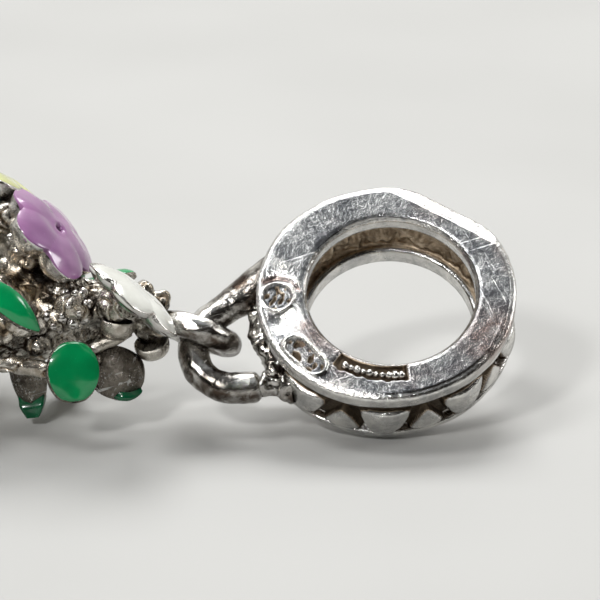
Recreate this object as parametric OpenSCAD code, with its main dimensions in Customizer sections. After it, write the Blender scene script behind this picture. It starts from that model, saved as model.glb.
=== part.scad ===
// Flower pot charm: a bail ring with a hanging loop, and a cast bunch of flowers
// in a small pot that hangs from it. It lies on its side on a flat surface.
// Millimetres, +Z up. The pot's foot points to -X and the bail ring to +X.

/* [Bail ring] */
// Diameter of the bore that the bracelet passes through
bore_d = 4.5; // [4.4:0.1:4.6]
// Diameter over the front rim
rim_d = 6.7; // [6.7:0.05:6.8]
// Width of the ring along its bore
ring_w = 2.2; // [2.15:0.05:2.25]
// Number of pads round the band
pad_count = 9; // [8:1:9]
// How far the bore's axis rises above the surface, in degrees
axis_rise = 52; // [52:1:52]

/* [Hanging loop] */
// Diameter of the loop's wire
loop_wire_d = 0.84; // [0.8:0.01:0.86]
// Radius of the loop's bend, to the middle of the wire
loop_bend_r = 1.09; // [1.06:0.01:1.1]

/* [Eyelet] */
// Diameter of the eyelet's wire
eyelet_wire_d = 0.66; // [0.6:0.01:0.68]
// Radius of the eyelet, to the middle of its wire
eyelet_r = 0.9; // [0.89:0.01:0.91]

/* [Pot] */
// Height of the pot
pot_h = 5.2; // [5:0.1:5.4]
// Diameter over the collar
collar_d = 5.9; // [5.9:0.1:5.9]
// Height of the collar
collar_h = 1.3; // [1.1:0.1:1.5]
// Diameter of the foot
foot_d = 3.8; // [3.6:0.1:4.2]

/* [Flowers and leaves] */
// Radius of one petal
petal_r = 0.66; // [0.6:0.01:0.68]
// Distance from a flower's middle to the middle of a petal
petal_reach = 0.86; // [0.82:0.01:0.9]
// Width of the silver edge round the enamel
edge_w = 0.07; // [0.06:0.01:0.1]
// Thickness of a leaf
leaf_t = 0.42; // [0.38:0.01:0.46]

/* [Hidden] */
$fn = 64;
fit_gap = 0.02;        // clearance between enamel and its cell, and between pot and root plug
silver = [0.78, 0.77, 0.74];
leaf_green = [0.0, 0.48, 0.27];
violet = [0.52, 0.33, 0.55];
cream = [0.86, 0.87, 0.83];
pale_yellow = [0.70, 0.72, 0.36];

// Ring section, with depths counted from the front face and radii from the bore's axis
half_w = ring_w / 2;
rim_r = rim_d / 2;
bore_r = bore_d / 2;
back_rim_r = rim_r - 0.05;
back_edge_r = rim_r - 0.23;
floor_r = rim_r - 0.3;
front_rim_w = 0.42;
back_rim_w = 0.42;
front_lip_w = 0.42;
back_lip_w = 0.6;
recess_depth = 0.26;
face_bevel = 0.15;
bore_bevel = 0.12;
swell = [-0.26, -0.08];    // how far the ring's thicker side stands out, towards the loop

// Pads and peaks of the patterned band
pad_w = 1.5;
pad_top = 0.7;         // depth of a pad's wide end
pad_tip = 1.84;
pad_crown = 0.07;      // how far a pad's crown stands proud of the rim
pad_ball_r = 1.35;
pad_phase = -93;
peak_w = 1.15;
peak_tip = 0.95;

// Flat worn on the ring, and the slope between it and the front face
flat_turn = 59;
flat_reach = 3.2;
slope_reach = 2.75;
slope_tilt = 24;

// Shallow marks in the front face
mark_depth = 0.1;
seal_at = [-3.04, -0.2];
seal_d = 0.8;
oval_at = [-2.3, -2.05];
oval_turn = -48;
oval_long = 1.3;
oval_wide = 0.62;
slot_from = 234;
slot_to = 280;
slot_r = 2.82;

// Loop, in a plane that leans a little from the ring's own
loop_mid = [-4.15, -1.23];
loop_from = 126;
loop_to = 275;
loop_lean = 11;
loop_rise = 0.25;
arm_len = 2.2;
arm_root_d = 1.2;
joint_gap = 0.05;      // from the end of the bend to the straight wire, inside the joint's ball
joint_ball = 0.04;     // how much thicker than the wire that ball is
tail_len = 0.61;
knob_d = 0.66;
knob_gap = 0.1;
knob_len = 0.85;
knob_turn = -5;
eyelet_at = 150;       // where the loop's wire runs through the eyelet
eyelet_axis = [0.33, 0.42, 0.84];
eyelet_shift = [-0.02, 0, -0.07];   // how far the eyelet hangs off the middle of that wire

// Places: the ring's middle above the surface, the pot's foot, and the shift that puts
// the middle of the charm's outline over the origin
rest_height = (back_edge_r - swell[1]) * cos(axis_rise) + half_w * sin(axis_rise);
ring_mid = [0.16, 1.77, rest_height];
pot_foot = [-17, 1.4, collar_d / 2];
outline_mid = [-6.74, 1.535, 0];

// The pot's wall, and its open mouth
pot_wall = 0.55;
mouth_r = collar_d / 2 - pot_wall;

// Shared sizes of the enamelled cells
cell_depth = 0.2;
enamel_proud = 0.03;
flower_dome_r = 4.2;
heart_r = 0.52;        // the round middle of a flower, between its petals

// Flowers, in the pot's frame (side, up, along): the middle, the way the flower faces,
// the way one petal points, the enamel's colour, and where the stem starts
NAME = 0;
PLACE = 1;
FACING = 2;
PETAL = 3;
COLOUR = 4;
ROOT = 5;
flowers = [
    // name,     middle,              facing,                petal,      colour,      stem root
    ["violet",  [-0.2, 2.42, 8.4],    [-0.12, 0.67, 0.72],   [1, 0, 0],  violet,      [0, 0.6, 6.2]],
    ["white",   [-1.71, 1.22, 10.61], [0.16, 0.76, 0.65],    [-1, 0, -0.3], cream,       [-0.2, 0, 8.9]],
    ["yellow",  [1.9, 3.3, 6.6],      [0.4, 0.82, 0.4],      [0, 0, 1],  pale_yellow, [0.5, 0.6, 5.9]],
    ["lilac",   [2.35, 0.9, 7.7],     [0.85, 0.35, 0.4],     [0, 0, 1],  violet,      [0.4, 0.2, 6.2]]];

// Leaves: the middle, the way the leaf points, the way its enamel faces, its length, width
// and bend, how blunt its tips are (1 is pointed), how far along its length its stem ends,
// and where the stem starts
ALONG = 2;
FACE = 3;
LENGTH = 4;
WIDTH = 5;
BEND = 6;
BLUNT = 7;
HOLD = 8;
STEM = 9;
leaves = [
    // name,         middle,              along,                 face,
    //     length, width, bend, blunt, hold, stem root
    ["long_leaf",   [-2.5, 1.17, 7.2],   [-0.05, -0.66, 0.75],  [-0.85, 0.35, 0.4],
        2.3, 0.78, 2.4, 1.06, -0.2, [-0.9, 0.5, 6.6]],
    ["round_leaf",  [-2.35, -0.8, 8.83], [0.33, 0.94, 0],       [-0.9, 0.35, 0.25],
        1.66, 1.44, 4.0, 1.12, 0, [-1.2, -0.9, 5.2]],
    ["back_leaf",   [-1.0, -1.33, 9.85], [0.25, -0.45, 0.85],   [0.72, -0.52, 0.42],
        1.55, 1.4, 4.0, 1.6, -0.3, [-0.2, -0.3, 8.0]],
    ["foot_leaf",   [-0.3, -1.45, 7.5],  [-0.05, -1.33, 0.22],  [0.93, 0.02, 0.15],
        2.6, 1.02, 6.0, 1.12, -0.35, [0, -0.4, 7.3]],
    ["prop_leaf",   [1.55, -1.84, 8.45], [0.32, -0.94, 0.05],   [0.9, 0.3, 0.2],
        1.96, 1.0, 6.0, 1.04, -0.35, [0.4, -0.4, 7.8]],
    ["top_leaf",    [1.5, 0.62, 9.55],   [0.35, 0.15, 0.92],    [0.3, 0.93, -0.1],
        1.6, 1.0, 3.0, 1.1, -0.2, [0, 0.2, 8.0]],
    ["side_leaf",   [2.5, -0.9, 6.5],    [0.75, -0.3, 0.6],     [0.6, -0.2, 0.75],
        1.9, 1.1, 3.0, 1, -0.25, [0.6, -0.2, 6.2]]];

// Small round buds of the casting: middle and diameter
buds = [
    [[-1.2, 0.6, 8.78], 0.85],
    [[-1.25, 0.2, 8.35], 0.55],
    [[-0.1, 0.61, 10.55], 0.6],
    [[-0.1, 0.33, 10.98], 0.6],
    [[-0.2, -0.66, 10.8], 1.0],
    [[-0.2, -0.25, 11.1], 0.8],
    [[-1.5, 0.2, 7.4], 0.7],
    [[-1.25, -0.5, 7.9], 0.65],
    [[1.5, -0.5, 7.2], 0.7]];

// Geometry helpers

function unit(v) = v / norm(v);
function polar(r, a) = r * [cos(a), sin(a)];

// Puts a shape's +Z along a direction, after a spin about it
module facing(place, direction, spin = 0) {
    d = unit(direction);
    translate(place) rotate([0, acos(d[2]), atan2(d[1], d[0])]) rotate([0, 0, spin]) children();
}

// Puts a shape's axes along three unit vectors
module framed(place, x, y, z) {
    multmatrix([
        [x[0], y[0], z[0], place[0]],
        [x[1], y[1], z[1], place[1]],
        [x[2], y[2], z[2], place[2]],
        [0, 0, 0, 1]]) children();
}

// Puts a shape's +X along one direction and its +Z as near as can be to another
module laid(place, along, face) {
    x = unit(along);
    y = unit(cross(face, x));
    framed(place, x, y, cross(x, y)) children();
}

// Puts a shape's +Z along one direction and its +X as near as can be to another
module turned(place, face, towards) {
    z = unit(face);
    y = unit(cross(z, towards));
    framed(place, cross(y, z), y, z) children();
}

// A round rod between two points
module rod(from, to, d) {
    span = to - from;
    facing(from, span) cylinder(d = d, h = norm(span));
}

// The ring's own frame: +Z along the bore, towards the polished face
module ring_frame() {
    translate(ring_mid - outline_mid) rotate([90 - axis_rise, 0, 0]) children();
}

// The pot's own frame: x to the far side, y to the front, z from the foot up
module pot_frame() {
    translate(pot_foot - outline_mid) multmatrix([
        [0, 0, 1, 0],
        [1, 0, 0, 0],
        [0, 1, 0, 0],
        [0, 0, 0, 1]]) children();
}

module loop_frame() {
    translate([0, 0, loop_rise]) rotate([loop_lean, 0, 0]) translate([loop_mid[0], loop_mid[1], 0]) children();
}

// The bail

// The outside of the ring, without its bore
module ring_blank() {
    rotate_extrude() polygon([
        [0, half_w],
        [rim_r - face_bevel, half_w],
        [rim_r - 0.3 * face_bevel, half_w - 0.3 * face_bevel],
        [rim_r, half_w - face_bevel],
        [rim_r, half_w - front_rim_w],
        [floor_r, half_w - front_rim_w],
        [floor_r, -half_w + back_rim_w],
        [back_rim_r, -half_w + back_rim_w],
        [back_rim_r, -half_w + 0.7 * back_rim_w],
        [back_edge_r, -half_w],
        [0, -half_w]]);
}

// The bore, with a recess between its two lips
module ring_bore() {
    clear = half_w + 1;
    rotate_extrude() polygon([
        [0, clear],
        [bore_r + bore_bevel, clear],
        [bore_r + bore_bevel, half_w],
        [bore_r, half_w - bore_bevel],
        [bore_r, half_w - front_lip_w],
        [bore_r + recess_depth, half_w - front_lip_w],
        [bore_r + recess_depth, -half_w + back_lip_w],
        [bore_r, -half_w + back_lip_w],
        [bore_r, -half_w + bore_bevel],
        [bore_r + bore_bevel, -half_w],
        [bore_r + bore_bevel, -clear],
        [0, -clear]]);
}

// Stands an outline of the band on the ring's side, domed by a ball
module relief(points, crown_r) {
    intersection() {
        translate([crown_r - pad_ball_r, 0, half_w - (pad_top + pad_tip) / 2]) sphere(r = pad_ball_r);
        translate([floor_r - 0.1, 0, half_w]) rotate([90, 0, 90]) linear_extrude(height = 1) polygon(points);
    }
}

// Half an outline as [half width, depth] pairs, mirrored about the middle
function mirrored(half) = concat(
    [for (p = half) [p[0], -p[1]]],
    [for (i = [len(half) - 1 : -1 : 0]) [-half[i][0], -half[i][1]]]);

module pad() {
    h = pad_tip - pad_top;
    w = pad_w / 2;
    relief(mirrored([
        [w - 0.1, pad_top],
        [w, pad_top + 0.1],
        [0.93 * w, pad_top + 0.35 * h],
        [0.68 * w, pad_top + 0.7 * h],
        [0.36 * w, pad_top + 0.94 * h],
        [0.1 * w, pad_tip]]), rim_r + pad_crown);
}

module peak() {
    w = peak_w / 2;
    foot = ring_w - back_rim_w;
    relief(mirrored([
        [0.1 * w, peak_tip],
        [0.35 * w, peak_tip + 0.3 * (foot - peak_tip)],
        [0.7 * w, peak_tip + 0.75 * (foot - peak_tip)],
        [w, foot],
        [w, foot + 0.12]]), rim_r);
}

module band_relief() {
    step = 360 / pad_count;
    for (i = [0 : pad_count - 1]) {
        turn = pad_phase + i * step;
        stand_out = max(0, swell * polar(1, turn));
        rotate([0, 0, turn]) translate([stand_out, 0, 0]) pad();
        next_turn = turn + step / 2;
        next_stand_out = max(0, swell * polar(1, next_turn));
        rotate([0, 0, next_turn]) translate([next_stand_out, 0, 0]) peak();
    }
}

module worn_flat() {
    rotate([0, 0, flat_turn]) translate([flat_reach, -rim_d, -ring_w])
        cube([rim_d, 2 * rim_d, 2 * ring_w]);
    rotate([0, 0, flat_turn]) translate([slope_reach, 0, half_w]) rotate([0, slope_tilt, 0])
        translate([0, -rim_d, 0]) cube([rim_d, 2 * rim_d, rim_d]);
}

module face_marks() {
    translate([0, 0, half_w - mark_depth]) {
        translate(seal_at) cylinder(d = seal_d, h = 1);
        translate(oval_at) rotate([0, 0, oval_turn]) linear_extrude(height = 1) {
            for (s = [-1, 1]) translate([s * (oval_long - oval_wide) / 2, 0]) circle(d = oval_wide);
            square([oval_long - oval_wide, oval_wide], center = true);
        }
        rotate([0, 0, slot_from]) rotate_extrude(angle = slot_to - slot_from)
            translate([bore_r - 0.2, 0]) square([slot_r - bore_r + 0.2, 1]);
    }
}

// A straight piece of the loop, from a point and along an angle of its plane
module straight(from, angle, d1, d2, long) {
    translate([from[0], from[1], 0]) rotate([0, 90, angle]) cylinder(d1 = d1, d2 = d2, h = long);
}

// A ball round the place where a straight piece meets the bend
module joint(at, angle) {
    translate([at[0], at[1], 0]) rotate([0, -90, angle - 90]) sphere(d = loop_wire_d + joint_ball);
}

module loop_wire() {
    loop_frame() {
        rotate([0, 0, loop_from]) rotate_extrude(angle = loop_to - loop_from)
            translate([loop_bend_r, 0]) circle(d = loop_wire_d);
        arm = polar(loop_bend_r, loop_from);
        tail = polar(loop_bend_r, loop_to);
        joint(arm, loop_from);
        joint(tail, loop_to);
        straight(arm + polar(joint_gap, loop_from - 90), loop_from - 90, loop_wire_d, arm_root_d, arm_len);
        straight(tail + polar(joint_gap, loop_to + 90), loop_to + 90, loop_wire_d, loop_wire_d, tail_len);
        end = tail + polar(joint_gap + tail_len + knob_gap, loop_to + 90);
        straight(end, knob_turn, knob_d, knob_d, knob_len);
    }
}

module bail() {
    color(silver) ring_frame() difference() {
        union() {
            difference() {
                union() {
                    ring_blank();
                    translate(swell) ring_blank();
                    band_relief();
                }
                worn_flat();
            }
            loop_wire();
        }
        ring_bore();
        face_marks();
    }
}

// The pot

module pot() {
    shoulder_r = collar_d / 2 - 0.35;
    floor_t = 0.8;
    lip = 0.1;
    color(silver) pot_frame() rotate_extrude() polygon([
        [0, 0],
        [foot_d / 2 - lip, 0],
        [foot_d / 2, lip],
        [shoulder_r, pot_h - collar_h],
        [collar_d / 2 - lip, pot_h - collar_h],
        [collar_d / 2, pot_h - collar_h + lip],
        [collar_d / 2, pot_h - lip],
        [collar_d / 2 - lip, pot_h],
        [mouth_r, pot_h],
        [mouth_r, pot_h - collar_h],
        [foot_d / 2 - pot_wall, floor_t],
        [0, floor_t]]);
}

// Flowers

module flower_outline(shrink) {
    for (i = [0 : 4]) rotate([0, 0, 72 * i]) translate([petal_reach, 0]) circle(r = petal_r - shrink);
    circle(r = heart_r - shrink);
}

// The ball whose cap is a flower's domed top, or a layer under it
module dome(lower) {
    translate([0, 0, -flower_dome_r]) sphere(r = flower_dome_r - lower);
}

// The space over one layer of the dome, inside the petals' outline
module over_dome(shrink, lower) {
    difference() {
        translate([0, 0, -1]) linear_extrude(height = 1.5) flower_outline(shrink);
        dome(lower);
    }
}

// A petal in the round: upright at its edge, then drawn in like a bowl
module petal_bowl() {
    rotate_extrude() polygon([
        [0, 0.5],
        [petal_r, 0.5],
        [petal_r, -0.3],
        [0.88 * petal_r, -0.55],
        [0.5 * petal_r, -0.8],
        [0, -0.85]]);
}

module flower_body() {
    intersection() {
        union() {
            for (i = [0 : 4]) rotate([0, 0, 72 * i]) translate([petal_reach, 0, 0]) petal_bowl();
            translate([0, 0, -0.6]) cylinder(r = heart_r, h = 1);
        }
        dome(0);
    }
}

module flower_enamel() {
    intersection() {
        over_dome(edge_w + fit_gap, cell_depth - fit_gap);
        dome(-enamel_proud);
    }
}

// Leaves: a lens outline with round tips, bent along its length

module leaf_outline(row, shrink) {
    wide = row[WIDTH];
    lens = row[LENGTH] * row[BLUNT];
    r = (lens * lens + wide * wide) / (4 * wide);
    intersection() {
        translate([0, wide / 2 - r]) circle(r = r - shrink);
        translate([0, r - wide / 2]) circle(r = r - shrink);
        circle(r = row[LENGTH] / 2 - shrink);
    }
}

// A layer of a bent leaf, between two depths counted from its face
module leaf_layer(row, shrink, low, high) {
    bend_r = row[BEND];
    intersection() {
        translate([0, 0, -row[LENGTH]]) linear_extrude(height = 2 * row[LENGTH]) leaf_outline(row, shrink);
        translate([0, 0, -bend_r]) rotate([90, 0, 0]) difference() {
            cylinder(r = bend_r + high, h = 3, center = true, $fn = 96);
            cylinder(r = bend_r + low, h = 4, center = true, $fn = 96);
        }
    }
}

module leaf_enamel(row) {
    leaf_layer(row, edge_w + fit_gap, -cell_depth + fit_gap, enamel_proud);
}

// The cast bunch of flowers, with the root plug that sits in the pot and the eyelet

function ring_to_charm(p) =
    let (a = 90 - axis_rise)
    ring_mid + [p[0], p[1] * cos(a) - p[2] * sin(a), p[1] * sin(a) + p[2] * cos(a)];

function loop_point(a) =
    let (q = loop_mid + polar(loop_bend_r, a))
    ring_to_charm([q[0], q[1] * cos(loop_lean), loop_rise + q[1] * sin(loop_lean)]);

function charm_to_pot(p) = [p[1] - pot_foot[1], p[2] - pot_foot[2], p[0] - pot_foot[0]];

eyelet_mid = charm_to_pot(loop_point(eyelet_at) + eyelet_shift);
eyelet_dir = [eyelet_axis[1], eyelet_axis[2], eyelet_axis[0]];

module core() {
    rotate_extrude() polygon([
        [0, pot_h - 0.9],
        [mouth_r - fit_gap, pot_h - 0.9],
        [mouth_r - fit_gap, pot_h - 0.15],
        [1.7, pot_h + 0.4],
        [1.3, 7.6],
        [0.95, 9.2],
        [0.5, 10.2],
        [0, 10.3]]);
}

module eyelet() {
    facing(eyelet_mid, eyelet_dir) rotate_extrude() translate([eyelet_r, 0]) circle(d = eyelet_wire_d);
}

module bouquet() {
    stem_d = 0.42;
    neck_d = 0.64;
    neck_top = eyelet_mid + unit([-0.1, 0.25, -1]) * eyelet_r;
    color(silver) pot_frame() difference() {
        union() {
            core();
            eyelet();
            rod([0, -0.15, 9.2], neck_top, neck_d);
            for (b = buds) translate(b[0]) sphere(d = b[1]);
            for (f = flowers) {
                turned(f[PLACE], f[FACING], f[PETAL]) flower_body();
                rod(f[ROOT], f[PLACE] - 0.5 * unit(f[FACING]), 2 * stem_d);
            }
            for (l = leaves) {
                laid(l[PLACE], l[ALONG], l[FACE]) leaf_layer(l, 0, -leaf_t, 0);
                rod(l[STEM], l[PLACE] + l[HOLD] * l[LENGTH] * unit(l[ALONG]) - 0.25 * unit(l[FACE]), stem_d);
            }
        }
        for (f = flowers) turned(f[PLACE], f[FACING], f[PETAL]) over_dome(edge_w, cell_depth);
        for (l = leaves) laid(l[PLACE], l[ALONG], l[FACE]) leaf_layer(l, edge_w, -cell_depth, 1);
    }
}

module enamel_of_flower(f) {
    color(f[COLOUR]) pot_frame() turned(f[PLACE], f[FACING], f[PETAL]) flower_enamel();
}

module enamel_of_leaf(l) {
    color(leaf_green) pot_frame() laid(l[PLACE], l[ALONG], l[FACE]) leaf_enamel(l);
}

bail();
pot();
bouquet();
for (f = flowers) enamel_of_flower(f);
for (l = leaves) enamel_of_leaf(l);
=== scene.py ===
import math
from functools import partial
import bpy
import numpy as np
from mathutils import Matrix, Vector
from mathutils.bvhtree import BVHTree


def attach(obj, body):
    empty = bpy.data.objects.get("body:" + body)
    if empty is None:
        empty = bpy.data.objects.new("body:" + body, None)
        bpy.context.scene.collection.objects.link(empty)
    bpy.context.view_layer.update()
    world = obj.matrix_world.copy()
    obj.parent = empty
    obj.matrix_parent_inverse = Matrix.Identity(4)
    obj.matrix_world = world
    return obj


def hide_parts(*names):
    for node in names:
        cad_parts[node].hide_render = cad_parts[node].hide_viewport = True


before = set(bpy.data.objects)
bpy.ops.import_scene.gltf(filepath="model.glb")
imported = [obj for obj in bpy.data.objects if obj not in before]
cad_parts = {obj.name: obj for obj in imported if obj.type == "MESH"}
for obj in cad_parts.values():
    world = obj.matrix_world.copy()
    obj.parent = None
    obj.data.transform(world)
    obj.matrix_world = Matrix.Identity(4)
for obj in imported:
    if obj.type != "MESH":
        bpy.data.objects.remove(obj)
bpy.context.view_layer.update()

mm = 0.001  # sizes below are in millimetres, meshes in metres


# vectors, smoothing and noise

def unit(v):
    v = np.asarray(v, float)
    return v / np.linalg.norm(v)


def polar(r, a):
    return np.array([r * math.cos(math.radians(a)), r * math.sin(math.radians(a))])


def roundAngles(count):
    return np.linspace(0, 2 * math.pi, count, endpoint=False)


def smoothMax(a, b, k):
    return 0.5 * (a + b + np.sqrt((a - b) ** 2 + k * k))


def smoothMin(a, b, k):
    return -smoothMax(-np.asarray(a), -np.asarray(b), k)


def ease(start, stop, x):  # 0 at start, 1 at stop, smooth between
    t = np.clip((x - start) / (stop - start), 0, 1)
    return t * t * (3 - 2 * t)


def bell(x, wide):
    return np.exp(-(x / wide) ** 2)


def spot(x, y, middle, wide, high):  # a soft oval patch
    return np.exp(-((x - middle[0]) / wide) ** 2 - ((y - middle[1]) / high) ** 2)


def ripple(points, size, seed, waves=16):  # soft noise of about unit height
    rng = np.random.default_rng(seed)
    k = rng.normal(size=(waves, 3))
    k *= (2 * math.pi / size * rng.uniform(0.6, 1.5, waves) / np.linalg.norm(k, axis=1))[:, None]
    total = np.zeros(points.shape[:-1])
    for row, phase in zip(k, rng.uniform(0, 2 * math.pi, waves)):
        total += np.cos(points @ row + phase)
    return total / math.sqrt(waves / 2)


def axes(x, y, z, at=(0, 0, 0)):  # 4x4 matrix of a local frame
    m = np.eye(4)
    m[:3, 0], m[:3, 1], m[:3, 2], m[:3, 3] = x, y, z, at
    return m


def put(points, m):
    return np.asarray(points, float) @ m[:3, :3].T + m[:3, 3]


# local frames, the same as the solids have

rise = math.radians(38)
ringFrame = axes((1, 0, 0), (0, math.cos(rise), math.sin(rise)), (0, -math.sin(rise), math.cos(rise)),
                 (6.9, 0.235, 2.83694))  # +Z along the bore, out of the polished face
potFrame = axes((0, 1, 0), (0, 0, 1), (1, 0, 0), (-10.26, -0.135, 2.95))  # side, up, along


# meshes

allPieces = []


def meshFrom(name, points, faces):  # points in millimetres
    mesh = bpy.data.meshes.new(name)
    mesh.from_pydata((np.asarray(points) * mm).tolist(), [], faces)
    mesh.update()
    co = np.asarray(points)
    tri = np.array([(f[0], f[i], f[i + 1]) for f in faces for i in range(1, len(f) - 1)])
    if (co[tri[:, 0]] * np.cross(co[tri[:, 1]], co[tri[:, 2]])).sum() < 0:
        mesh.flip_normals()
    mesh.polygons.foreach_set("use_smooth", np.ones(len(mesh.polygons), bool))
    return mesh


def newObject(name, data):
    obj = bpy.data.objects.new(name, data)
    bpy.context.collection.objects.link(obj)
    return obj


def piece(name, mesh, material, slot, *nodes):
    obj = newObject(name, mesh)
    mesh.materials.clear()
    mesh.materials.append(material)
    allPieces.append((obj, slot, nodes))
    return obj


def plainMesh(obj):  # the mesh that an object's modifiers make
    return bpy.data.meshes.new_from_object(obj.evaluated_get(bpy.context.evaluated_depsgraph_get()))


def pointsOf(mesh, scale=mm):
    flat = np.zeros((2, len(mesh.vertices) * 3))
    mesh.vertices.foreach_get("co", flat[0])
    mesh.vertices.foreach_get("normal", flat[1])
    return flat[0].reshape(-1, 3) / scale, flat[1].reshape(-1, 3)


def keepValues(mesh, name, values):  # one value on each point, for the nodes to read
    mesh.attributes.new(name, "FLOAT", "POINT").data.foreach_set("value", np.ravel(values))


def gridFaces(rows, cols, wrapRows=True, first=0):
    i = np.arange(rows if wrapRows else rows - 1)[:, None]
    j = np.arange(cols)[None, :]
    a, b = i * cols + j, ((i + 1) % rows) * cols + j
    c, d = ((i + 1) % rows) * cols + (j + 1) % cols, i * cols + (j + 1) % cols
    return (np.stack([a, b, c, d], -1).reshape(-1, 4) + first).tolist()


def domeGrid(rows, lowPole, highPole):  # rings of points between two poles
    n, cols = rows.shape[:2]
    points = np.concatenate([[lowPole], rows.reshape(-1, 3), [highPole]])
    faces = gridFaces(n, cols, False, 1)
    top = 1 + (n - 1) * cols
    for j in range(cols):
        k = (j + 1) % cols
        faces.append([0, 1 + k, 1 + j])
        faces.append([len(points) - 1, top + j, top + k])
    return points, faces


def joined(parts):
    points, faces = [], []
    for p, f in parts:
        faces += [[i + len(points) for i in row] for row in f]
        points += list(p)
    return np.array(points), faces


def lathe(profile, sides):
    rows = np.array([[(r * math.cos(t), r * math.sin(t), z) for t in roundAngles(sides)] for r, z in profile])
    return domeGrid(rows, (0, 0, profile[0][1]), (0, 0, profile[-1][1]))


def reachAlong(path):
    return np.concatenate([[0], np.cumsum(np.linalg.norm(np.diff(path, axis=0), axis=1))])


def curveThrough(knots, count):  # even points on a Catmull-Rom line
    k = np.array(knots, float)
    k = np.concatenate([2 * k[:1] - k[1:2], k, 2 * k[-1:] - k[-2:-1]])
    t = np.linspace(0, 1, 24, endpoint=False)[:, None]
    fine = []
    for a, b, c, d in zip(k, k[1:], k[2:], k[3:]):
        fine.append(0.5 * (2 * b + (c - a) * t + (2 * a - 5 * b + 4 * c - d) * t ** 2
                           + (3 * b - a - 3 * c + d) * t ** 3))
    fine = np.concatenate(fine + [k[-2][None]])
    reach = reachAlong(fine)
    at = np.linspace(0, reach[-1], count)
    return np.stack([np.interp(at, reach, fine[:, i]) for i in range(3)], 1)


def roundEnds(path, radius, startCap=True, endCap=True):  # radii that close in a round tip
    radius = np.broadcast_to(radius, len(path)).astype(float).copy()
    reach = reachAlong(path)
    for on, away in ((startCap, reach), (endCap, reach[-1] - reach)):
        if on:
            t = np.clip(away / (0.55 * radius), 0, 1)
            radius *= np.sqrt(np.clip(1 - (1 - t) ** 2, 0.0004, 1))
    return radius


# geometry nodes

def newNodes(tree, *kinds):
    return [tree.nodes.new(kind) for kind in kinds]


def link(tree, a, b):
    tree.links.new(a, b)


def newTree(name, inputs):
    tree = bpy.data.node_groups.new(name, "GeometryNodeTree")
    sockets = {}
    for label, kind, value in [("Geometry", "NodeSocketGeometry", None)] + inputs:
        s = tree.interface.new_socket(label, in_out="INPUT", socket_type=kind)
        if value is not None:
            s.default_value = value
        sockets[label] = s.identifier
    tree.interface.new_socket("Geometry", in_out="OUTPUT", socket_type="NodeSocketGeometry")
    return tree, sockets, *newNodes(tree, "NodeGroupInput", "NodeGroupOutput")


def finishTree(tree, ins, outs, geometry):  # realize, shade and give the finish
    real, smooth, finish = newNodes(tree, "GeometryNodeRealizeInstances", "GeometryNodeSetShadeSmooth",
                                    "GeometryNodeSetMaterial")
    link(tree, geometry, real.inputs["Geometry"])
    link(tree, real.outputs[0], smooth.inputs["Geometry"])
    link(tree, smooth.outputs[0], finish.inputs["Geometry"])
    link(tree, ins.outputs["Finish"], finish.inputs["Material"])
    link(tree, finish.outputs[0], outs.inputs[0])


def thicknessNode(tree):
    thick, = newNodes(tree, "GeometryNodeInputNamedAttribute")
    thick.data_type = "FLOAT"
    thick.inputs["Name"].default_value = "thickness"
    return thick.outputs["Attribute"]


def makeTubeTree():  # a round bar along each line, as thick as its points say
    tree, sockets, ins, outs = newTree("tubeAlongPath", [
        ("Sides", "NodeSocketInt", 32), ("Finish", "NodeSocketMaterial", None)])
    curve, circle, sweep = newNodes(tree, "GeometryNodeMeshToCurve", "GeometryNodeCurvePrimitiveCircle",
                                    "GeometryNodeCurveToMesh")
    circle.inputs["Radius"].default_value = 1.0
    sweep.inputs["Fill Caps"].default_value = True
    link(tree, ins.outputs["Geometry"], curve.inputs[0])
    link(tree, ins.outputs["Sides"], circle.inputs["Resolution"])
    link(tree, curve.outputs[0], sweep.inputs["Curve"])
    link(tree, thicknessNode(tree), sweep.inputs["Scale"])
    link(tree, circle.outputs[0], sweep.inputs["Profile Curve"])
    finishTree(tree, ins, outs, sweep.outputs[0])
    return tree, sockets


def makeBeadTree():  # a small ball on every point, as large as the point says, and uneven
    tree, sockets, ins, outs = newTree("beadsOnPoints", [
        ("Seed", "NodeSocketInt", 3), ("Uneven", "NodeSocketFloat", 0.12),
        ("Finish", "NodeSocketMaterial", None)])
    ball, onPoints, vary, turn = newNodes(
        tree, "GeometryNodeMeshIcoSphere", "GeometryNodeInstanceOnPoints", "FunctionNodeRandomValue",
        "FunctionNodeRandomValue")
    low, high, product = newNodes(tree, *["ShaderNodeMath"] * 3)
    ball.inputs["Radius"].default_value = 1.0
    ball.inputs["Subdivisions"].default_value = 2
    low.operation, high.operation, product.operation = "SUBTRACT", "ADD", "MULTIPLY"
    low.inputs[0].default_value = high.inputs[0].default_value = 1.0
    turn.data_type = "FLOAT_VECTOR"
    turn.inputs["Max"].default_value = (6.28, 6.28, 6.28)
    for part, place in ((low, 2), (high, 3)):
        link(tree, ins.outputs["Uneven"], part.inputs[1])
        link(tree, part.outputs[0], vary.inputs[place])
    link(tree, ins.outputs["Seed"], vary.inputs["Seed"])
    link(tree, ins.outputs["Seed"], turn.inputs["Seed"])
    link(tree, thicknessNode(tree), product.inputs[0])
    link(tree, vary.outputs[1], product.inputs[1])
    link(tree, ins.outputs["Geometry"], onPoints.inputs["Points"])
    link(tree, ball.outputs["Mesh"], onPoints.inputs["Instance"])
    link(tree, turn.outputs[0], onPoints.inputs["Rotation"])
    link(tree, product.outputs[0], onPoints.inputs["Scale"])
    finishTree(tree, ins, outs, onPoints.outputs[0])
    return tree, sockets


tubeTree, beadTree = makeTubeTree(), makeBeadTree()


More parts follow.
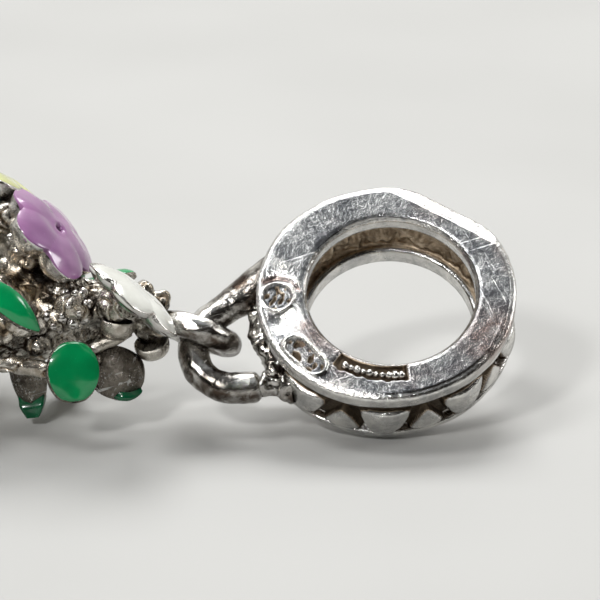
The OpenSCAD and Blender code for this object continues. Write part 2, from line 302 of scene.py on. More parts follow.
def byNodes(name, group, values, paths, material):  # each path: points, thickness, closed or not
    points, radii, edges = [], [], []
    for path, radius, closed in paths:
        first = len(points)
        points += list(path)
        radii += list(np.broadcast_to(radius, len(path)))
        edges += [(first + i, first + i + 1) for i in range(len(path) - 1)]
        if closed:
            edges.append((first + len(path) - 1, first))
    mesh = bpy.data.meshes.new(name)
    mesh.from_pydata((np.array(points) * mm).tolist(), edges, [])
    keepValues(mesh, "thickness", np.array(radii) * mm)
    obj = piece(name, mesh, material, "silver")
    tree, sockets = group
    mod = obj.modifiers.new("build", "NODES")
    mod.node_group = tree
    for label, value in {**values, "Finish": material}.items():
        mod[sockets[label]] = value
    done = plainMesh(obj)
    obj.modifiers.remove(mod)
    obj.data = done
    return done


def roughen(mesh, *waves):  # pushes points along their normals: height, size and seed of each wave
    co, no = pointsOf(mesh)
    push = sum(height * ripple(co, size, seed) for height, size, seed in waves)
    mesh.vertices.foreach_set("co", ((co + no * push[:, None]) * mm).ravel())
    mesh.update()


print("helpers ready")


# shader nodes, where a value is a number, a colour or another node's output

def feed(tree, socket, value):
    if isinstance(value, bpy.types.NodeSocket):
        link(tree, value, socket)
    else:
        socket.default_value = (*value, 1) if isinstance(value, tuple) else value


def mathNode(tree, operation, a, b, clamp=False):
    n, = newNodes(tree, "ShaderNodeMath")
    n.operation, n.use_clamp = operation, clamp
    feed(tree, n.inputs[0], a)
    feed(tree, n.inputs[1], b)
    return n.outputs[0]


def noiseNode(tree, vector, scale, detail=3.0, rough=0.55, distort=0.0):
    n, = newNodes(tree, "ShaderNodeTexNoise")
    for label, value in (("Vector", vector), ("Scale", scale), ("Detail", detail), ("Roughness", rough),
                         ("Distortion", distort)):
        feed(tree, n.inputs[label], value)
    return n.outputs["Fac"]


def rampNode(tree, value, low, high, outLow=0.0, outHigh=1.0):
    n, = newNodes(tree, "ShaderNodeMapRange")
    n.interpolation_type = "SMOOTHSTEP"
    for label, v in (("Value", value), ("From Min", low), ("From Max", high), ("To Min", outLow),
                     ("To Max", outHigh)):
        feed(tree, n.inputs[label], v)
    return n.outputs["Result"]


def mixColour(tree, factor, a, b):
    n, = newNodes(tree, "ShaderNodeMix")
    n.data_type = "RGBA"
    for label, value in (("Factor", factor), ("A", a), ("B", b)):
        feed(tree, n.inputs[label], value)
    return n.outputs["Result"]


def attributeNode(tree, name):
    n, = newNodes(tree, "ShaderNodeAttribute")
    n.attribute_name = name
    return n.outputs["Fac"]


def toolsFor(tree, *makers):
    return [partial(make, tree) for make in makers]


# shader groups: they give masks, values and normals

def newShaderGroup(name, output, kind, **inputs):
    g = bpy.data.node_groups.new(name, "ShaderNodeTree")
    g.interface.new_socket("Vector", in_out="INPUT", socket_type="NodeSocketVector")
    for label, value in inputs.items():
        g.interface.new_socket(label, in_out="INPUT", socket_type="NodeSocketFloat").default_value = value
    g.interface.new_socket(output, in_out="OUTPUT", socket_type=kind)
    ins, outs = newNodes(g, "NodeGroupInput", "NodeGroupOutput")
    return g, ins.outputs, outs.inputs[output]


def makeScratchGroup():  # fine straight scratches in three directions of the ring's face
    g, ins, out = newShaderGroup("fineScratches", "Mask", "NodeSocketFloat", Scale=15000.0, Amount=0.5)
    ramp, noise, calc = toolsFor(g, rampNode, noiseNode, mathNode)
    lines = []
    for turn, shift in ((25, 0.0), (110, 3.1), (160, 7.7)):
        m, = newNodes(g, "ShaderNodeMapping")
        m.vector_type = "TEXTURE"
        way = Matrix.Rotation(rise, 3, "X") @ Matrix.Rotation(math.radians(turn), 3, "Z")
        m.inputs["Rotation"].default_value = way.to_euler()
        m.inputs["Location"].default_value = (shift, shift * 0.6, 0)
        m.inputs["Scale"].default_value = (1.0, 26.0, 1.0)
        link(g, ins["Vector"], m.inputs["Vector"])
        line = ramp(noise(m.outputs[0], ins["Scale"], 1.0, 0.5), 0.6, 0.68)
        patch = ramp(noise(m.outputs[0], 1800.0, 1.0), 0.5, 0.68)
        lines.append(calc("MULTIPLY", line, patch))
    total = calc("MAXIMUM", calc("MAXIMUM", lines[0], lines[1]), lines[2])
    link(g, calc("MULTIPLY", total, ins["Amount"], True), out)
    return g


def makePatinaGroup():  # dark oxide in the hollows, with a broken edge
    g, ins, out = newShaderGroup("darkInHollows", "Mask", "NodeSocketFloat", Cavity=0.0, Scale=4000.0,
                                 Start=0.35, Spread=0.3)
    noise, calc = toolsFor(g, noiseNode, mathNode)
    grain = calc("MULTIPLY", calc("SUBTRACT", noise(ins["Vector"], ins["Scale"], 4.0, 0.62), 0.5), 0.9)
    over = calc("SUBTRACT", calc("ADD", ins["Cavity"], grain), ins["Start"])
    link(g, calc("DIVIDE", over, ins["Spread"], True), out)
    return g


def makeSurfaceGroup():  # normal of a cast and handled surface
    g, ins, out = newShaderGroup("castSurface", "Normal", "NodeSocketVector", Waves=0.1, Grain=0.1,
                                 Scratches=0.0)
    noise, calc = toolsFor(g, noiseNode, mathNode)
    wide = calc("MULTIPLY", noise(ins["Vector"], 1500.0, 2.0), ins["Waves"])
    fine = calc("MULTIPLY", noise(ins["Vector"], 9000.0, 4.0, 0.65), ins["Grain"])
    bump, = newNodes(g, "ShaderNodeBump")
    bump.inputs["Strength"].default_value = 1.0
    bump.inputs["Distance"].default_value = 0.00006
    height = calc("SUBTRACT", calc("ADD", wide, fine), calc("MULTIPLY", ins["Scratches"], 0.25))
    link(g, height, bump.inputs["Height"])
    link(g, bump.outputs[0], out)
    return g


scratchGroup, patinaGroup, surfaceGroup = makeScratchGroup(), makePatinaGroup(), makeSurfaceGroup()


def useGroup(tree, group, **values):
    n, = newNodes(tree, "ShaderNodeGroup")
    n.node_tree = group
    for label, value in values.items():
        feed(tree, n.inputs[label], value)
    return n.outputs[0]


# materials

wearAndSheen = {"scratch": (0.95, 0.95, 0.94), "polished": (0.93, 0.91, 0.86), "darkBrown": (0.22, 0.165, 0.11),
        "lightBrown": (0.66, 0.54, 0.4), "black": (0.03, 0.02, 0.012)}


def startMaterial(name):
    mat = bpy.data.materials.new(name)
    mat.use_nodes = True
    tree = mat.node_tree
    tree.nodes.clear()
    shader, out, place = newNodes(tree, "ShaderNodeBsdfPrincipled", "ShaderNodeOutputMaterial",
                                  "ShaderNodeTexCoord")
    link(tree, shader.outputs[0], out.inputs["Surface"])
    return mat, tree, shader.inputs, place.outputs["Object"]


def silverMaterial(name, bright, shade, dark, start, spread, smooth, rough, waves, grain, scratches,
                   tint=(0.3, 0.2, 0.16), tintAmount=0.0):
    mat, tree, shader, place = startMaterial(name)
    mix, ramp, noise, calc = toolsFor(tree, mixColour, rampNode, noiseNode, mathNode)
    hollow, stainAndSheen, tarnishAndShade = (attributeNode(tree, label) for label in ("cavity", "stainAndSheen", "tarnishAndShade"))
    scratch = useGroup(tree, scratchGroup, Vector=place, Amount=scratches)
    patina = useGroup(tree, patinaGroup, Vector=place, Cavity=hollow, Start=start, Spread=spread)
    cloud = ramp(noise(place, 1500.0, 9.0, 0.8, 0.3), 0.36, 0.64)
    patch = ramp(noise(place, 330.0, 5.0, 0.62), 0.5, 0.66, 0.0, tintAmount)
    colour = mix(patch, mix(cloud, bright, shade), tint)
    colour = mix(scratch, colour, wearAndSheen["scratch"])
    polished = mix(cloud, wearAndSheen["polished"], bright)  # stain below 0 is bright, from wear and from painted highlights; 1 is brown, 1.5 is black
    brown = mix(cloud, wearAndSheen["darkBrown"], wearAndSheen["lightBrown"])
    colour = mix(ramp(stainAndSheen, -1.0, 0.0, 1.0, 0.0), colour, polished)
    colour = mix(ramp(stainAndSheen, 0.0, 1.0), colour, brown)
    colour = mix(ramp(stainAndSheen, 1.05, 1.5, 0.0, 0.86), colour, wearAndSheen["black"])
    # dimmed towards the tint: real tarnish on the ring and solder lumps, painted shade on the wire and eyelet
    dull = calc("MULTIPLY", tarnishAndShade, ramp(noise(place, 1500.0, 6.0, 0.7), 0.36, 0.6, 0.4, 0.85))
    colour = mix(patina, mix(dull, colour, tint), dark)
    # painted shade: the colour turns dark where the surface turns edge-on to the camera
    facing, = newNodes(tree, "ShaderNodeLayerWeight")
    colour = mix(ramp(facing.outputs["Facing"], 0.72, 0.95, 0.0, 0.8), colour, dark)
    link(tree, colour, shader["Base Color"])
    shader["Metallic"].default_value = 1.0
    shine = ramp(noise(place, 2600.0, 5.0, 0.6), 0.3, 0.75, smooth, rough)
    shine = calc("ADD", shine, calc("MULTIPLY", calc("MAXIMUM", patina, stainAndSheen, True), 0.25))
    link(tree, calc("ADD", shine, calc("MULTIPLY", scratch, 0.15), True), shader["Roughness"])
    normal = useGroup(tree, surfaceGroup, Vector=place, Waves=waves, Grain=grain, Scratches=scratch)
    link(tree, normal, shader["Normal"])
    return mat


def enamelMaterial(name, colour, deep, speck, gloss, waves):
    mat, tree, shader, place = startMaterial(name)
    mix, ramp, noise = toolsFor(tree, mixColour, rampNode, noiseNode)
    cloud = ramp(noise(place, 700.0, 3.0, 0.5), 0.3, 0.7)
    specks = ramp(noise(place, 14000.0, 2.0), 0.68, 0.76, 0.0, 0.25)
    tone = mix(specks, mix(cloud, colour, deep), speck)
    # painted shade: the enamel turns to its deep tone where the point is hidden
    tone = mix(ramp(attributeNode(tree, "cavity"), 0.25, 0.85, 0.0, 0.6), tone, deep)
    link(tree, tone, shader["Base Color"])
    link(tree, ramp(noise(place, 3000.0, 4.0), 0.3, 0.75, gloss, gloss + 0.14), shader["Roughness"])
    shader["Coat Weight"].default_value = 0.45
    shader["Coat Roughness"].default_value = 0.04
    link(tree, useGroup(tree, surfaceGroup, Vector=place, Waves=waves, Grain=0.04), shader["Normal"])
    return mat


ringSilver = silverMaterial(
    "ringSilver", bright=(0.53, 0.53, 0.52), shade=(0.16, 0.165, 0.175), dark=(0.08, 0.055, 0.035),
    start=0.45, spread=0.35, smooth=0.12, rough=0.3, waves=0.3, grain=0.35, scratches=0.32,
    tint=(0.3, 0.21, 0.18), tintAmount=0.35)
wireSilver = silverMaterial(
    "wireSilver", bright=(0.88, 0.87, 0.83), shade=(0.3, 0.275, 0.24), dark=(0.05, 0.035, 0.025),
    start=0.4, spread=0.35, smooth=0.06, rough=0.2, waves=0.45, grain=0.25, scratches=0.3,
    tint=(0.075, 0.055, 0.042), tintAmount=0.5)
castSilver = silverMaterial(
    "castSilver", bright=(0.9, 0.87, 0.8), shade=(0.3, 0.26, 0.2), dark=(0.03, 0.02, 0.013),
    start=0.26, spread=0.3, smooth=0.1, rough=0.3, waves=0.7, grain=0.35, scratches=0.1,
    tint=(0.2, 0.135, 0.07), tintAmount=0.8)
petalSilver = silverMaterial(
    "petalSilver", bright=(0.78, 0.77, 0.74), shade=(0.58, 0.55, 0.52), dark=(0.08, 0.06, 0.05),
    start=0.48, spread=0.4, smooth=0.08, rough=0.24, waves=0.45, grain=0.25, scratches=0.2)
leafSilver = silverMaterial(
    "leafSilver", bright=(0.3, 0.27, 0.23), shade=(0.09, 0.075, 0.06), dark=(0.03, 0.024, 0.02),
    start=0.35, spread=0.4, smooth=0.2, rough=0.42, waves=0.7, grain=1.0, scratches=0.6)
backSilver = silverMaterial(
    "backSilver", bright=(0.74, 0.71, 0.65), shade=(0.42, 0.38, 0.32), dark=(0.06, 0.045, 0.035),
    start=0.5, spread=0.4, smooth=0.2, rough=0.45, waves=0.5, grain=0.5, scratches=0.2)
potSilver = silverMaterial(
    "potSilver", bright=(0.76, 0.75, 0.72), shade=(0.55, 0.53, 0.5), dark=(0.07, 0.05, 0.04),
    start=0.45, spread=0.35, smooth=0.1, rough=0.28, waves=0.3, grain=0.3, scratches=0.5)
violetEnamel = enamelMaterial(
    "violetEnamel", colour=(0.38, 0.17, 0.36), deep=(0.24, 0.1, 0.24), speck=(0.5, 0.32, 0.52),
    gloss=0.14, waves=0.2)
creamEnamel = enamelMaterial(
    "creamEnamel", colour=(0.74, 0.745, 0.69), deep=(0.56, 0.56, 0.51), speck=(0.88, 0.88, 0.84),
    gloss=0.12, waves=0.3)
yellowEnamel = enamelMaterial(
    "yellowEnamel", colour=(0.62, 0.64, 0.3), deep=(0.42, 0.44, 0.16), speck=(0.75, 0.76, 0.5),
    gloss=0.14, waves=0.3)
greenEnamel = enamelMaterial(
    "greenEnamel", colour=(0.0, 0.33, 0.1), deep=(0.0, 0.2, 0.06), speck=(0.02, 0.46, 0.18),
    gloss=0.1, waves=0.2)
# painted shade: a darker copy of the green enamel for the back and foot leaves, which sit in shade
shadedGreen = enamelMaterial(
    "shadedGreenEnamel", colour=(0.0, 0.12, 0.045), deep=(0.0, 0.06, 0.022), speck=(0.02, 0.2, 0.08),
    gloss=0.15, waves=0.3)
print("materials ready")


# bail ring: one closed section turned about the bore, with swelling, wear, band and marks

ring = {
    "bore": 2.25, "rim": 3.35, "width": 2.2, "edge": 0.15, "boreEdge": 0.12, "step": 0.03,
    "frontRim": 0.42, "floor": 3.05, "backFrom": 1.78, "backRim": 3.3, "backEdge": 1.906, "backFace": 3.12,
    "frontLip": 0.42, "backLip": 1.6, "recess": 2.51, "swell": (-0.26, -0.08), "around": 540,
    "flatTurn": 59, "flat": 3.2, "slope": 2.75, "slopeRun": 2.246, "inset": 0.022, "faceInset": 0.003}
faceWearAndGlare = {  # places on the face; sizes, and then depth or amount
    "dents": (((-3.0, -0.95), 0.55, 0.36, 0.13), ((-3.25, 0.42), 0.5, 0.22, 0.1),
              ((-3.6, -0.3), 0.25, 0.9, 0.06)),
    "polish": (((-2.75, -0.8), 0.42, 0.9), ((-2.95, 0.75), 0.3, 0.9), ((-2.5, 0.15), 0.2, 0.8),
               ((-1.35, -3.0), 0.3, 0.5)),
    "tarnishAndShade": (((2.75, -1.6), 0.8, 1.3), ((-2.0, -1.45), 0.3, 0.7), ((1.2, 2.7), 0.5, 0.5),
                ((-2.3, -1.1), 0.25, 0.6))}
seal = {"at": (-3.04, -0.2), "floor": (0.4, 0.35), "deep": 0.085, "rimAt": 0.43, "rimWide": 0.045,
        "rim": 0.05}
oval = {"at": (-2.3, -2.05), "floor": (0.27, 0.22), "deep": 0.085, "rimAt": 0.32, "rimWide": 0.055,
        "rim": 0.055, "turn": -48, "half": 0.38}
slot = {"from": (234, 238), "to": (280, 277), "middle": 257, "half": 24, "outer": 2.87, "inner": 2.78,
        "deep": 0.1}
pads = {"phase": -93, "half": 0.75, "top": 0.36, "base": 1.27,  # depth from the face, share of the width
        "rows": ((0.75, 0.8), (0.83, 1), (1.1, 0.93), (1.5, 0.7), (1.76, 0.36), (1.86, 0.04))}
peaks = {"phase": -73, "half": 0.575, "top": 0.28, "base": 1.6,
         "rows": ((0.92, 0.04), (1.2, 0.36), (1.55, 0.74), (1.78, 1.0))}
bandStep, bandCurve, bandRound = 40, 3.4, 0.13


def ringReach(turn):  # how far the thicker side stands out at an angle
    u = np.stack([np.cos(turn), np.sin(turn)], -1)
    c = np.array(ring["swell"])
    along = u @ c
    other = along + np.sqrt(ring["rim"] ** 2 - c @ c + along ** 2)
    return smoothMax(ring["rim"], other, 0.04) - ring["rim"]


def bandHeight(turn, depth):  # pads from the front, peaks from the back, over the band's floor
    height = np.zeros(np.broadcast(turn, depth).shape)
    for form in (pads, peaks):
        rows = form["rows"]
        side = (np.degrees(turn) - form["phase"] + bandStep / 2) % bandStep - bandStep / 2
        arc = np.radians(side) * ring["rim"]
        wide = np.interp(depth, [r[0] for r in rows], [form["half"] * r[1] for r in rows])
        inside = np.minimum(wide - np.abs(arc), depth - rows[0][0])
        if form is pads:
            inside = np.minimum(inside, rows[-1][0] - depth)
        shape = np.sqrt(np.clip(1 - (1 - np.clip(inside / bandRound, 0, 1)) ** 2, 0, 1))
        crown = form["top"] - (arc ** 2 + (depth - form["base"]) ** 2) / bandCurve
        height = np.maximum(height, shape * crown)
    return height


def sunk(mark, r):  # a floor inside a low rim, at a distance from the mark's middle
    return mark["deep"] * ease(*mark["floor"], r) - mark["rim"] * bell(r - mark["rimAt"], mark["rimWide"])


def sealSide(x, y):
    return np.degrees(np.arctan2(y - seal["at"][1], x - seal["at"][0]))


def faceMarks(x, y):  # how deep the worn marks of the face are, all of them bare
    r = np.hypot(x - seal["at"][0], y - seal["at"][1])
    side = sealSide(x, y)
    deep = sunk(seal, r) + 0.05 * bell(r - 0.6, 0.05) * ease(10, 30, side) * ease(150, 130, side)
    a = math.radians(oval["turn"])
    px, py = x - oval["at"][0], y - oval["at"][1]
    along, across = px * math.cos(a) + py * math.sin(a), -px * math.sin(a) + py * math.cos(a)
    deep += sunk(oval, np.hypot(np.maximum(np.abs(along) - oval["half"], 0), across))
    dull = ripple(np.stack([x, y, 0 * x], -1), 0.24, 11)
    deep += 0.07 * ease(0.2, 0.7, dull) * ease(0.03, 0.08, deep)
    turn, r = np.degrees(np.arctan2(y, x)) % 360, np.hypot(x, y)
    ragged = r + 0.02 * np.sin(np.radians(turn) * 40) + 0.015 * np.sin(np.radians(turn) * 67)
    inSlot = ease(*slot["from"], turn) * ease(*slot["to"], turn) * ease(slot["outer"], slot["inner"], ragged)
    return deep + slot["deep"] * inSlot


def ringCorners():  # round the section: kind of the run from here, radius, depth, points in the run
    r, step = ring, ring["step"]
    rimEdge, inner = r["rim"] - r["edge"], r["bore"] + r["boreEdge"]
    return [
        ("face", inner, 0, 34), ("bevel", rimEdge, 0, 7), ("out", r["rim"], r["edge"], 8),
        ("out", r["rim"], r["frontRim"], 4), ("band", r["floor"], r["frontRim"] + step, 52),
        ("out", r["floor"], r["backFrom"] - step, 4), ("out", r["backRim"], r["backFrom"], 5),
        ("out", r["backRim"], r["backEdge"], 6), ("back", r["backFace"], r["width"], 8),
        ("in", inner, r["width"], 4), ("in", r["bore"], r["width"] - r["boreEdge"], 9),
        ("in", r["bore"], r["backLip"], 3), ("recess", r["recess"], r["backLip"] - step, 24),
        ("in", r["recess"], r["frontLip"] + step, 3), ("in", r["bore"], r["frontLip"], 6),
        ("in", r["bore"], r["boreEdge"], 4)]


def ringRun(kind, t, rho, depth, turn):  # radius and depth of one run of the section, all round
    reach = ringReach(turn)
    c = np.maximum(np.cos(turn - math.radians(ring["flatTurn"])), 0.3)
    limit = smoothMin(ring["flat"] / c, (ring["slope"] + ring["slopeRun"] * depth) / c, 0.04)
    rimEdge, inner = ring["rim"] - ring["edge"], ring["bore"] + ring["boreEdge"]
    if kind == "face":
        outer = np.minimum(rimEdge + reach, ring["slope"] / c)
        radius = inner + (outer - inner) * t
        x, y = radius * np.cos(turn), radius * np.sin(turn)
        depth = depth + faceMarks(x, y)
        depth = depth + 0.02 * ease(0.12, 0, t) + 0.03 * ease(0.93, 1, t)
        for middle, wide, high, down in faceWearAndGlare["dents"]:
            depth = depth + down * spot(x, y, middle, wide, high)
        return radius, depth
    if kind == "back":
        outer = np.minimum(rho[:, :1] + reach, ring["flat"] / c)
        return outer + (inner - outer) * t, depth + 0 * turn
    if kind in ("in", "recess"):
        return rho + 0 * turn, depth + 0 * turn
    if kind == "bevel":
        rho = rimEdge + ring["edge"] * np.sin(t * math.pi / 2)
        depth = ring["step"] + (ring["edge"] - ring["step"]) * (1 - np.cos(t * math.pi / 2))
    radius = rho + reach + (bandHeight(turn, depth) if kind == "band" else 0)
    return smoothMin(radius, limit, 0.02), depth + 0 * turn


def ringStainAndSheen(kind, radius, depth, turn):  # bright on worn edges and at painted glare spots, brown or black in the low places
    if kind == "band":
        return -0.8 + 2.5 * ease(0.2, 0.17, bandHeight(turn, depth))
    if kind == "in":
        return -0.7 + 2.0 * ease(0.05, 0.14, radius - ring["bore"])
    if kind in ("bevel", "out"):
        return 0 * radius - 0.7
    if kind != "face":
        return 0 * radius + 0.95 * (kind == "recess")
    x, y = radius * np.cos(turn), radius * np.sin(turn)
    marks = faceMarks(x, y)
    inSlot = (np.abs(np.degrees(turn) % 360 - slot["middle"]) < slot["half"]) & (radius < 2.84)
    stainAndSheen = 1.5 * ease(0.0, 0.015, marks - np.where(inSlot, 0.03, 0.1)) - 1.0 * ease(0.005, 0.02, -marks)
    # painted highlights: the listed glare spots on the face are made bright in the colour
    for middle, wide, amount in faceWearAndGlare["polish"]:
        stainAndSheen = stainAndSheen - amount * spot(x, y, middle, wide, wide) * (marks < 0.02)
    return stainAndSheen


def ringTarnish(x, y):
    tarnishAndShade = 0 * x
    for middle, wide, amount in faceWearAndGlare["tarnishAndShade"]:
        tarnishAndShade = tarnishAndShade + amount * spot(x, y, middle, wide, wide)
    away, side = np.hypot(x - seal["at"][0], y - seal["at"][1]), sealSide(x, y)
    return tarnishAndShade + 1.2 * bell(away - 0.62, 0.07) * ease(5, 25, side) * ease(140, 120, side)


def makeRing():
    turn = roundAngles(ring["around"])[:, None]
    corners = ringCorners()
    columns = []
    for (kind, rho, depth, count), (_, nextRho, nextDepth, _) in zip(corners, corners[1:] + corners[:1]):
        t = np.linspace(0, 1, count, endpoint=False)[None]
        radius, down = ringRun(kind, t, rho + (nextRho - rho) * t, depth + (nextDepth - depth) * t, turn)
        stainAndSheen = ringStainAndSheen(kind, radius, down, turn)
        flags = [0 * radius + (kind == "recess"), 0 * radius + (kind not in ("in", "recess"))]
        columns.append(np.stack([radius, down, *flags, stainAndSheen], -1))
    radius, depth, rough, outside, stainAndSheen = np.moveaxis(np.concatenate(columns, 1), -1, 0)
    points = np.stack([radius * np.cos(turn), radius * np.sin(turn), ring["width"] / 2 - depth], -1)
    wobble = 0.006 * ripple(points, 1.5, 5) + 0.003 * ripple(points, 0.4, 6)
    melt = rough * (0.06 * ripple(points, 0.6, 7) + 0.03 * ripple(points, 0.22, 8))
    inRecess = np.clip((depth - ring["frontLip"]) / (ring["backLip"] - ring["frontLip"]), 0, 1)
    radius = radius + outside * (wobble - ring["inset"]) + melt * np.sin(np.pi * inRecess) ** 0.5
    x, y = radius * np.cos(turn), radius * np.sin(turn)
    points[..., 0], points[..., 1] = x, y
    points[..., 2] -= ring["faceInset"] + 0.004 * outside * ripple(points, 1.2, 9)
    mesh = meshFrom("bailRing", put(points.reshape(-1, 3), ringFrame), gridFaces(*points.shape[:2]))
    keepValues(mesh, "stainAndSheen", stainAndSheen)
    keepValues(mesh, "tarnishAndShade", np.clip(ringTarnish(x, y), 0, 1) * (depth < 0.3))
    return mesh


piece("bailRing", makeRing(), ringSilver, "silver", "bail")

faceBeads = {"count": 10, "from": 242, "step": 3.7, "radius": 2.62, "size": 0.1, "sunk": 0.07}
beadSpots = []
for i in range(faceBeads["count"]):
    x, y = polar(faceBeads["radius"], faceBeads["from"] + faceBeads["step"] * i)
    at = put([(x, y, ring["width"] / 2 - faceBeads["sunk"])], ringFrame)
    beadSpots.append((at, faceBeads["size"], False))
byNodes("faceBeads", beadTree, {"Seed": 4, "Uneven": 0.3}, beadSpots, potSilver)
print("ring made")


# hanging loop, its solder at the ring, and the eyelet that it runs through

loop = {"middle": (-4.15, -1.23), "radius": 1.09, "from": 126, "to": 275, "lean": 11, "rise": 0.25,
        "wire": 0.42, "root": 0.6, "arm": 2.25, "tail": 0.66}
solder = {"knobFrom": 0.52, "knobUp": 0.13, "knob": 0.98, "knobTurn": -7, "knobThick": 0.33, "spread": 0.08,
          "shoulder": ((1.15, 2.0), (0.78, 1.3), (0.66, 0.75), (0.8, 0.2), (1.02, -0.3), (1.1, -0.9)),
          "shoulderThick": 0.31}
eyelet = {"at": 150, "radius": 0.9, "wire": 0.33, "axis": (0.33, 0.42, 0.84), "shift": (-0.02, 0, -0.07)}


def loopPoint(x, y):  # from the loop's own plane to the charm
    a = math.radians(loop["lean"])
    x, y = x + loop["middle"][0], y + loop["middle"][1]
    return put([(x, y * math.cos(a), loop["rise"] + y * math.sin(a))], ringFrame)[0]


armStart, tailStart = polar(loop["radius"], loop["from"]), polar(loop["radius"], loop["to"])


def loopWire():
    flat = [armStart + polar(t, loop["from"] - 90) for t in np.linspace(loop["arm"], 0.2, 8)]
    flat += [polar(loop["radius"], a) for a in np.linspace(loop["from"], loop["to"], 15)]
    flat += [tailStart + polar(t, loop["to"] + 90) for t in np.linspace(0.2, loop["tail"], 4)]
    path = curveThrough([loopPoint(*p) for p in flat], 150)
    reach = np.linspace(0, reachAlong(path)[-1], len(path))
    radius = loop["wire"] + (loop["root"] - loop["wire"]) * ease(2.0, 0, reach)
    return path, roundEnds(path, radius * (1 + 0.012 * ripple(path, 1.1, 12)), False, True), False


def solderPaths():  # the knob at the wire's end, and the shoulder along the ring
    start = tailStart + polar(solder["knobFrom"], loop["to"] + 90) + (0, solder["knobUp"])
    knots = [start + polar(t, solder["knobTurn"]) for t in np.linspace(0, solder["knob"], 5)]
    knob = curveThrough([loopPoint(*p) for p in knots], 30)
    thick = solder["knobThick"] * (1 + 0.06 * ripple(knob, 0.5, 14))
    thick = thick + solder["spread"] * ease(0.4, 1, np.linspace(0, 1, 30))
    shoulder = curveThrough([loopPoint(*p) for p in solder["shoulder"]], 70)
    return [(knob, roundEnds(knob, thick, True, False), False),
            (shoulder, roundEnds(shoulder, solder["shoulderThick"]), False)]


def eyeletPath(middle):
    z = unit(eyelet["axis"])
    x = unit(np.cross((0, 0, 1), z))
    a = roundAngles(96)[:, None]
    path = middle + eyelet["radius"] * (np.cos(a) * x + np.sin(a) * np.cross(z, x))
    return path, eyelet["wire"] * (1 + 0.03 * ripple(path, 1.2, 15)), True


def shadeAndTarnishStrip(mesh, seed, armFrom=None):  # painted shade in a strip low on the near side and on the arm, a painted highlight along the top, and random tarnish patches
    co, no = pointsOf(mesh)
    # painted shade: a dark strip where the normals face the camera and downwards
    low = no @ unit((0, -0.7, -0.71)) + 0.12 * ripple(co, 0.9, seed) + 0.05 * ripple(co, 0.25, seed + 1)
    shadeAndTarnish = 1.3 * ease(0.62, 0.82, low) * ease(1.1, 0.96, low)
    shadeAndTarnish = shadeAndTarnish + 0.9 * ease(0.3, 1.0, ripple(co, 1.0, seed + 2))
    if armFrom:
        # painted shade on the arm, most where it faces the camera and down
        onArm = ease(armFrom[0], armFrom[0] + 0.4, co[:, 0]) * ease(armFrom[1], armFrom[1] + 0.3, co[:, 2])
        shadeAndTarnish = shadeAndTarnish + onArm * (0.55 + 1.2 * ease(0.35, 0.65, no @ unit((0.2, -1, -0.4))))
    keepValues(mesh, "tarnishAndShade", np.clip(shadeAndTarnish, 0, 1.2))
    # painted highlight: the upward-facing top is made bright
    keepValues(mesh, "stainAndSheen", -0.6 * ease(0.6, 0.85, no @ unit((0, -0.4, 1))))


wire = byNodes("hangingLoop", tubeTree, {"Sides": 40}, [loopWire()], wireSilver)
roughen(wire, (0.012, 0.9, 84), (0.003, 0.3, 85))
shadeAndTarnishStrip(wire, 86, armFrom=(1.7, 2.9))
lumps = byNodes("solderLumps", tubeTree, {"Sides": 40}, solderPaths(), wireSilver)
roughen(lumps, (0.035, 0.6, 81), (0.02, 0.28, 82), (0.006, 0.12, 83))
keepValues(lumps, "tarnishAndShade", ease(-0.5, 0.9, ripple(pointsOf(lumps)[0] * (1, 0.5, 1), 0.5, 87)))
eyeletMiddle = loopPoint(*polar(loop["radius"], eyelet["at"])) + np.array(eyelet["shift"])
hoop = byNodes("eyeletRing", tubeTree, {"Sides": 36}, [eyeletPath(eyeletMiddle)], wireSilver)
roughen(hoop, (0.012, 0.8, 88), (0.005, 0.3, 89))
shadeAndTarnishStrip(hoop, 90)
print("loop and eyelet made")


# flowers: a silver cup with five petals, and domed enamel in it

flower = {"petal": 0.66, "reach": 0.86, "heart": 0.52, "dome": 4.2, "rim": 0.07, "cell": 0.18, "around": 260,
          "seat": -0.26, "heartLow": -0.6,  # and the cup's underside: distance to a petal's middle, height
          "under": ((0, -0.85), (0.2, -0.84), (0.33, -0.79), (0.46, -0.69), (0.58, -0.54), (0.66, -0.32),
                    (0.7, -0.26))}
flowerColumns = ("name", "at", "face", "petal", "root", "enamel", "slot", "deep", "over")
flowerRows = [dict(zip(flowerColumns, row)) for row in (
    ("violet", (-0.2, 2.42, 8.4), (-0.12, 0.67, 0.72), (1, 0, 0), (0, 0.6, 6.2), violetEnamel,
     "violet_enamel", 1.0, 1),
    ("white", (-1.71, 1.22, 10.61), (0.16, 0.76, 0.65), (-1, 0, -0.3), (-0.2, 0, 8.9), creamEnamel,
     "cream_enamel", 0.5, 0),
    ("yellow", (1.9, 3.27, 6.6), (0.4, 0.82, 0.4), (0, 0, 1), (0.5, 0.6, 5.9), yellowEnamel,
     "yellow_enamel", 1.0, 0),
    ("lilac", (2.35, 0.9, 7.7), (0.85, 0.35, 0.4), (0, 0, 1), (0.4, 0.2, 6.2), violetEnamel,
     "violet_enamel", 1.0, 0))]
petalTurns = np.radians(72 * np.arange(5))
flowerTurn = roundAngles(flower["around"])


def flowerEdge(shrink):  # how far the outline reaches, all round
    turn = flowerTurn
    u = np.stack([np.cos(turn), np.sin(turn)], -1)
    best = np.full(turn.shape, flower["heart"] - shrink)
    for a in petalTurns:
        c = flower["reach"] * np.array([math.cos(a), math.sin(a)])
        along = u @ c
        under = (flower["petal"] - shrink) ** 2 - c @ c + along ** 2
        far = along + np.sqrt(np.maximum(under, 0))
        best = np.maximum(best, np.where((under > 0) & (along > 0), far, 0))
    return best


def petalGaps(x, y):  # distance to each petal's middle
    middles = [(flower["reach"] * math.cos(a), flower["reach"] * math.sin(a)) for a in petalTurns]
    return np.stack([np.hypot(x - px, y - py) for px, py in middles])


